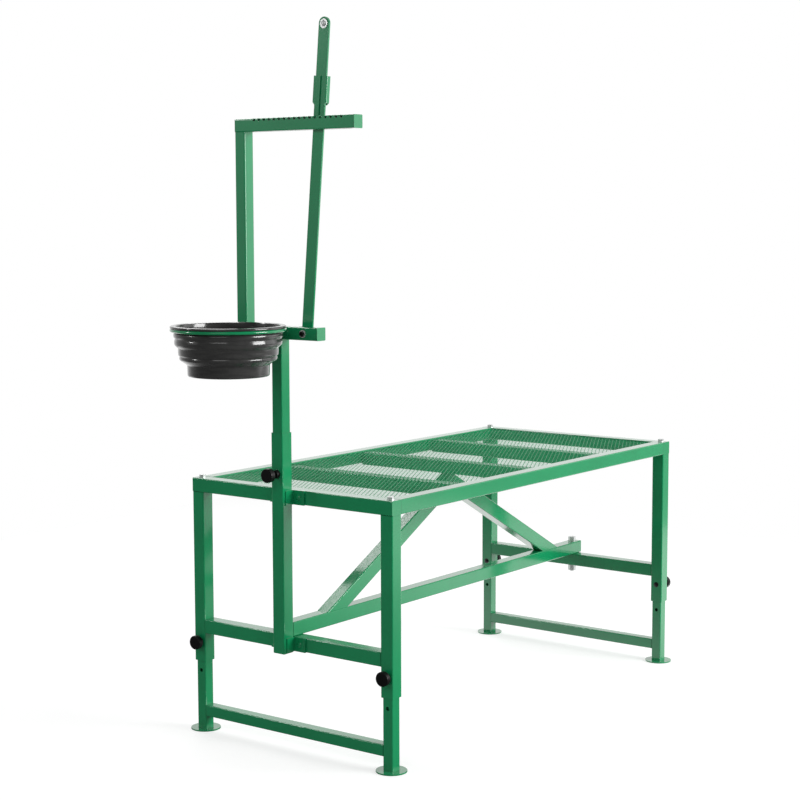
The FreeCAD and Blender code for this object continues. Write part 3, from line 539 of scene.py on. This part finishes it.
# %% Floor
floor_finish = Finish("floor_white")
floor_finish.tree.nodes.remove(floor_finish.shader)
floor_size = 5.0
floor_level = -0.0005
white = (1.0, 1.0, 1.0, 1.0)
floor_grey = (0.50, 0.50, 0.50, 1.0)
matte = floor_finish.node("ShaderNodeBsdfDiffuse", None, {"Color": floor_grey})
seen = floor_finish.node("ShaderNodeLightPath").socket.node.outputs
camera_ray, glossy_ray, through_ray = (
    Value(floor_finish, seen[name])
    for name in ("Is Camera Ray", "Is Glossy Ray", "Is Transmission Ray"))
spot = {0: floor_finish.place(), 1: (-0.5, 0.87, 0.0)}
rearward = floor_finish.node("ShaderNodeVectorMath", {"operation": "DOT_PRODUCT"}, spot, output=1)
mirror_strength = rearward.smooth(-0.4, 0.9) * 1.2 + 0.1
glow = {"Color": white, "Strength": camera_ray * 0.66}
glow = floor_finish.node("ShaderNodeEmission", None, glow)
plain_view = floor_finish.node("ShaderNodeAddShader", None, {0: matte, 1: glow})
mirror_view = {"Color": white, "Strength": mirror_strength}
mirror_view = floor_finish.node("ShaderNodeEmission", None, mirror_view)
views = {0: glossy_ray.larger(through_ray), 1: plain_view, 2: mirror_view}
floor_output = floor_finish.tree.nodes["Material Output"]
floor_finish.feed(floor_output.inputs["Surface"],
                  floor_finish.node("ShaderNodeMixShader", None, views))


def floor_half(name, cut_away, body):
    bpy.ops.object.select_all(action="DESELECT")
    bpy.ops.mesh.primitive_plane_add(size=floor_size, location=(0, 0, floor_level))
    half = bpy.context.object
    half.name = name
    bpy.ops.object.mode_set(mode="EDIT")
    bpy.ops.mesh.bisect(plane_co=(0, 0, 0), plane_no=cut_away, clear_outer=True)
    bpy.ops.object.mode_set(mode="OBJECT")
    half.data.materials.append(floor_finish.material)
    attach(half, body)
    return half


for half in (floor_half("floor_front", (0, 1, 0), "front_leg_frame"),
             floor_half("floor_rear", (0, -1, 0), "rear_leg_frame")):
    print(half.name, [round(v, 3) for v in half.dimensions])

# %% [markdown]
# The world is white to the camera. In reflections it is also white behind the stand and dark in
# front of it, and to soft light it is an even grey. Its maths is written with one small function,
# as a world has no material to wrap.

# %% World
world = bpy.data.worlds.new("white_room")
bpy.context.scene.world = world
world.use_nodes = True
world_tree = world.node_tree
background = world_tree.nodes["Background"]
background.inputs["Color"].default_value = (1, 1, 1, 1)
where = world_tree.nodes.new("ShaderNodeTexCoord")
facing = world_tree.nodes.new("ShaderNodeVectorMath")
facing.operation = "DOT_PRODUCT"
facing.inputs[1].default_value = (-0.6, 0.8, 0.0)
world_tree.links.new(where.outputs["Generated"], facing.inputs[0])


def world_math(operation, first, second, third=None):
    made = world_tree.nodes.new("ShaderNodeMath")
    made.operation = operation
    made.use_clamp = operation == "MULTIPLY_ADD"
    for slot, value in enumerate((first, second, third)):
        if isinstance(value, float):
            made.inputs[slot].default_value = value
        elif value is not None:
            world_tree.links.new(value, made.inputs[slot])
    return made.outputs[0]


soft_light = 0.30
dark_side = 0.06
rays = world_tree.nodes.new("ShaderNodeLightPath").outputs
mirrored = world_math("MAXIMUM", rays["Is Glossy Ray"], rays["Is Transmission Ray"])
behind = world_math("MULTIPLY_ADD", facing.outputs["Value"], 0.714, 0.286)
behind = world_math("MULTIPLY", behind, behind)
reflected = world_math("MULTIPLY_ADD", behind, 1.0 - dark_side, dark_side)
in_mirrors = world_math("MULTIPLY", mirrored, reflected)
on_matte = world_math("MULTIPLY_ADD", mirrored, -soft_light, soft_light)
room = world_math("MAXIMUM", in_mirrors, on_matte)
shown = world_math("MAXIMUM", rays["Is Camera Ray"], room)
world_tree.links.new(shown, background.inputs["Strength"])
print("world nodes", len(world_tree.nodes))

# %% [markdown]
# The lamps are areas that the camera doesn't see. The large one on the right makes the side faces
# lighter than the front ones, and two in front fill the shadows. The overhead one and the two
# beside the gate are there mostly for their reflections in the coat.


# %% Lamps
def lamp(name, place, target, size, power):
    data = bpy.data.lights.new(name, "AREA")
    data.shape = "RECTANGLE"
    data.size = size[0]
    data.size_y = size[1]
    data.energy = power
    made = bpy.data.objects.new(name, data)
    bpy.context.scene.collection.objects.link(made)
    made.location = place
    made.rotation_euler = (Vector(target) - Vector(place)).to_track_quat("-Z", "Y").to_euler()
    made.visible_camera = False


deck_centre, post_centre, gate_centre = (0, 0, 0.5), (0, 0, 0.8), (0, -0.4, 1.2)
lamp("side_lamp", (4.4, 1.2, 1.7), deck_centre, (2.4, 2.0), 205)
lamp("front_lamp", (-3.2, -3.6, 2.6), post_centre, (0.5, 1.2), 30)
lamp("front_fill_lamp", (1.4, -4.2, 3.2), post_centre, (2.4, 1.2), 22)
lamp("overhead_lamp", (-2.2, 1.2, 2.95), (0, 0, 0.4), (1.7, 1.7), 34)
lamp("gate_side_lamp", (2.1, 2.4, 1.45), gate_centre, (1.9, 1.7), 10)
lamp("gate_front_lamp", (-2.0, -3.0, 1.5), gate_centre, (1.4, 1.4), 1.8)
bpy.context.scene.view_settings.view_transform = "Standard"
